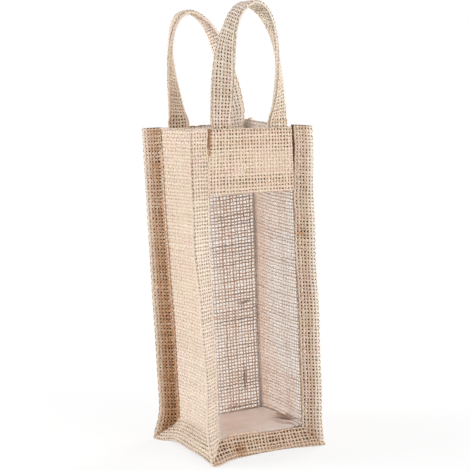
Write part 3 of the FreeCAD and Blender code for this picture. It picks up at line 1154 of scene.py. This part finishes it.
def add_base():
    """The base cloth, its film and the tangled yarn in its puckered corner."""
    cloth = on_bag(woven("base_cloth", base_shape(), jute, 30), "jute_cloth", "base_panel")
    shape = base_film_shape()

    def share(u, v):
        x = u - HALF_WIDTH
        y = v - HALF_DEPTH
        # The crumpled corner is browner in the valleys between ridges: painted shade in the folds.
        crumpled = pucker(x, y) * (2.2 - 2.0 * ridge(x, y))
        # Paler toward the front and the right, where the right wall shades it, and pinker on the left:
        # painted light and shade.
        lit_right = 0.25 * x + 0.15 * np.maximum(x, 0)
        return 0.10 + crumpled - 0.3 * below(v, 45, 45) - lit_right / HALF_WIDTH

    film = plain_sheet("base_lining", shape, BASE_STEP, floor_film, share)
    on_bag(film, "lining_film", "base_film")
    spot = (*PUCKER_SPOT, BASE_LEVEL + PUCKER_RISE + TANGLE_LIFT)
    tangles = [
        on_bag(tuft(name, spot, long, wide, count, tone, jute, seed, radius), "jute_cloth")
        for name, (long, wide, count, tone, seed, radius) in TANGLES.items()
    ]


def add_bindings():
    """The strips folded over the seams."""
    def mitre(u, along):
        """How near a spot is to the mitre, from its run along the strip past the corner, for the painted
        shadow along it.
        """
        from_root = np.maximum(ROOT_RUN - np.abs(u - LEAF_RUN), 0)
        return below(along + from_root / math.sqrt(2), 3.5, 2.5)

    # Painted shade on the back-left fin toward its root, and painted light growing with height.
    def shaded(u, v):
        height = v / (RIM_LEVEL - BASE_LEVEL)
        return 0.9 * height - 1.5 * above(LEAF_RUN - u, 3, 9)

    # The front-right fin: lighter along the fold and darker toward the foot, a smudge, and painted shadow
    # along the mitre.
    def smudge_and_mitre_shade(u, v):
        off_fold = u - LEAF_RUN
        smudge = near(v, 226, 6) * near(off_fold, 16, 5)
        edge = below(np.abs(off_fold), 9, 5)
        return 2.0 * edge - 1.0 * smudge - 1.6 * mitre(u, v - FIN_REACH) - 0.5 * below(v, 16, 10)

    # The front base strip: darker overall, a stain, and painted shadow along the mitre.
    def stain_and_mitre_shade(u, v):
        along = v - HALF_WIDTH - FIN_REACH - FOLD_RADIUS
        stain = near(along, 30, 7) * near(u - LEAF_RUN, 8, 6)
        return -0.6 - 1.4 * stain - 1.4 * mitre(u, HALF_WIDTH + along)

    # Painted light: the front-left fin is lighter below about 220 mm.
    def lit_low(u, v):
        return 0.7 - 0.7 * above(v, 220, 80)

    # The front-left strip's layers: painted shade beside the band's crease near the rim, painted light low
    # down.
    def crease_shade_and_low_light(u, v):
        beside_band = above(u - LEAF_RUN - ROOT_RUN, -6, 2)
        high = above(v - (RIM_LEVEL - BASE_LEVEL) - FIN_REACH + CREASE_DROP, 0, 12)
        return 0.9 * (1 - 0.75 * beside_band * high) + 0.7 * below(v, 250, 80)

    corners = {
        "front_left": Corner(
            -1, -1, (1, 39), 1.7, crease=CREASE_DROP, gap=2.4 * MM, pale=crease_shade_and_low_light, tone=lit_low,
        ),
        "front_right": Corner(1, -1, (42, 45), top=3 * MM, crease=BAND_FACE, gap=1.8 * MM, tone=smudge_and_mitre_shade),
        "back_left": Corner(-1, 1, (62, 40), 1.1, top=1 * MM, soft=9 * MM, tone=shaded),
        # The back-right strip's layers are painted pale: painted light in the corner's shade.
        "back_right": Corner(1, 1, (45, 45), top=-1 * MM, tail=0, pale=0.7, tone=-0.3),
    }
    for seed, (name, corner) in enumerate(corners.items()):
        shapes = [corner_strip(corner, core) for core in (False, True)]
        yarn = AIRY_YARN if name in ("front_right", "back_left") else FULL_YARN
        finish_strip(f"{name}_binding", shapes, 40 + seed, corner.pale, corner.tone, yarn, capped=True)
    sides = (
        ("front", HALF_WIDTH, 70, stain_and_mitre_shade, OPEN_YARN),
        ("back", HALF_WIDTH, 46, 0, FULL_YARN),
        ("left", HALF_DEPTH, 46, 0.5, FULL_YARN),
        ("right", HALF_DEPTH, 46, 0, FULL_YARN),
    )
    for seed, (side, half, middle, tone, yarn) in enumerate(sides):
        shapes = [base_strip(side, half, math.radians(middle), core) for core in (False, True)]
        finish_strip(f"{side}_base_binding", shapes, 50 + seed, 0.0, tone, yarn)


def finish_strip(name, shapes, seed, pale, tone, yarn=FULL_YARN, capped=False):
    """One strip's weave, stitches and inner layers, with painted light on the layers along the fold, and a
    capped one's raw end.
    """
    cloth = on_bag(woven(f"{name}_cloth", shapes[0], jute, seed, yarn, tone), "jute_binding", name)
    length = shapes[0].length
    places = [LEAF_RUN + side * (FOLD_RUN + FIN_LENGTH - SEAM_FROM_ROOT) for side in (-1, 1)]
    thread = stitched(f"{name}_stitches", shapes[0], [("v", place, 0, length) for place in places], jute)
    on_bag(thread, "jute_binding")

    # The layers are painted lighter near the fold: painted light where the strip's edge lets light in.
    def share(u, v):
        own = at(pale, u, v)
        return own + np.maximum(1 - own, 0) * below(np.abs(u - LEAF_RUN) - FIN_MARGIN, 2, 4)

    layers = plain_sheet(f"{name}_layers", shapes[1], BINDING_STEP, inner_cloth, share)
    on_bag(layers, "jute_binding")
    stray = on_bag(fibres(f"{name}_fibres", shapes[0], STRIP_FIBRES, jute, 100 + seed), "jute_binding")
    if capped:
        cap = plain_sheet(f"{name}_end", strip_end(shapes[0]), END_STEP, inner_cloth, 1.0)
        on_bag(cap, "jute_binding")


STRAPS = (
    Strap(
        name="front", y_side=-1, rise=121.8 * MM, reach=33.8 * MM, lean=12, swing=38.6, late=0.78,
        middle=0.5 * MM, skew=-8.0 * MM, tip=21.3, sway=-29.7, tones=(-0.4, 0.1, -0.4),
    ),
    # The back strap's right leg is painted much lighter: painted light where the front strap shades it.
    Strap(
        name="back", y_side=1, rise=116.8 * MM, reach=32.4 * MM, lean=12, swing=12, late=0.60,
        middle=2.4 * MM, skew=-4.4 * MM, tip=11, sway=0, tones=(2.3, 0.6, -0.2),
    ),
)


def leg_tone(tones, length):
    """A strap's tone from its right leg over its top to its left leg."""
    return lambda u, v: np.interp(v / length, (0.2, 0.5, 0.8), tones)


def add_straps():
    """The two strap handles, bending between the bag and their loops at the rim."""
    half = STRAP_FLAT + math.pi * STRAP_BEND
    for strap in STRAPS:
        shape = strap_shape(strap)
        name = f"{strap.name}_strap"
        tone = leg_tone(strap.tones, shape.length)

        # The layers are painted lighter near the strap's folded edges and where its tone is raised:
        # painted light.
        def share(u, v, tone=tone):
            from_edge = np.minimum(np.mod(u, half), STRAP_FLAT - np.mod(u, half))
            return below(from_edge - STRAP_MARGIN, 1.5, 3) + 0.4 * np.clip(tone(u, v), 0, 1)

        yarn = pale_jute if strap.name == "front" else jute
        cloth = woven(name, shape, yarn, 60 + strap.y_side, AIRY_YARN, tone, wrapped=True)
        layers = plain_sheet(f"{name}_layers", shape, FINE_STEP, inner_cloth, share, STRAP_INSET)
        stray = fibres(f"{name}_fibres", shape, STRIP_FIBRES, yarn, 90 + strap.y_side)
        for piece in (cloth, layers, stray):
            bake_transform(piece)
        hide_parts(f"{strap.name}_handle", f"{strap.name}_handle_ends")


def seen_plainly(tree):
    """1 for what the eye sees, also in reflections and through clear things, else 0."""
    path = tree.nodes.new("ShaderNodeLightPath").outputs
    seen = maths(tree, "MAXIMUM", path["Is Camera Ray"], path["Is Glossy Ray"])
    return maths(tree, "MAXIMUM", seen, path["Is Transmission Ray"])


def floor_look(tree):
    """Pale, and whiter to the eye with the distance from the bag."""
    pale = node(tree, "BsdfDiffuse", {"Color": (0.9, 0.9, 0.9)})
    white = node(tree, "Emission", {"Color": (1, 1, 1)})
    far = tree.nodes.new("ShaderNodeVectorMath")
    far.operation = "LENGTH"
    tree.links.new(tree.nodes.new("ShaderNodeTexCoord").outputs["Object"], far.inputs[0])
    plain = maths(tree, "MULTIPLY_ADD", far.outputs["Value"], 0.5, 0.68)
    share = maths(tree, "MULTIPLY", seen_plainly(tree), maths(tree, "MINIMUM", plain, 1.0))
    return mixed(tree, share, pale, white)


def add_floor():
    """A plain pale floor that fades into the white backdrop."""
    corners = np.array([(-1, -1, 0), (1, -1, 0), (1, 1, 0), (-1, 1, 0)]) * FLOOR_SIZE
    material = new_material("pale_floor", floor_look)
    new_piece("floor", new_mesh("floor", corners, np.array([[0, 1, 2, 3]])), material)


def add_world():
    """White to the eye and in reflections, with a plain level of light."""
    world = bpy.data.worlds.new("studio")
    bpy.context.scene.world = world
    world.use_nodes = True
    tree = world.node_tree
    tree.nodes.clear()
    light = node(tree, "Background", {"Color": (1, 1, 1), "Strength": 0.5})
    white = node(tree, "Background", {"Color": (1, 1, 1), "Strength": 1.0})
    output = tree.nodes.new("ShaderNodeOutputWorld")
    tree.links.new(mixed(tree, seen_plainly(tree), light, white), output.inputs["Surface"])


def add_lamp(name, spot, size, power):
    """A soft square lamp that looks at the middle of the bag."""
    data = bpy.data.lights.new(name, "AREA")
    data.size = size
    data.energy = power
    lamp = bpy.data.objects.new(name, data)
    bpy.context.scene.collection.objects.link(lamp)
    lamp.location = spot
    aim = Vector(LAMP_AIM) - Vector(spot)
    lamp.rotation_euler = aim.to_track_quat("-Z", "Y").to_euler()


def add_camera():
    """The photograph's viewpoint."""
    data = bpy.data.cameras.new("camera")
    data.sensor_width = CAMERA_SENSOR
    data.lens = CAMERA_LENS
    camera = bpy.data.objects.new("camera", data)
    bpy.context.scene.collection.objects.link(camera)
    level = math.cos(CAMERA_PITCH)
    ahead = Vector((math.sin(CAMERA_YAW) * level, math.cos(CAMERA_YAW) * level, math.sin(CAMERA_PITCH)))
    right = Vector((math.cos(CAMERA_YAW), -math.sin(CAMERA_YAW), 0))
    up = right.cross(ahead)
    right_rolled = right * math.cos(CAMERA_ROLL) + up * math.sin(CAMERA_ROLL)
    up_rolled = -right * math.sin(CAMERA_ROLL) + up * math.cos(CAMERA_ROLL)
    turn = Matrix((right_rolled, up_rolled, -ahead)).transposed().to_4x4()
    camera.matrix_world = Matrix.Translation(CAMERA_PLACE) @ turn
    bpy.context.scene.camera = camera


add_walls()
add_band()
add_window()
add_base()
add_bindings()
add_straps()
add_floor()
add_world()
for lamp_name, (lamp_place, lamp_size, lamp_power) in LAMPS.items():
    add_lamp(lamp_name, lamp_place, lamp_size, lamp_power)
add_camera()
bpy.context.scene.view_settings.view_transform = "Standard"
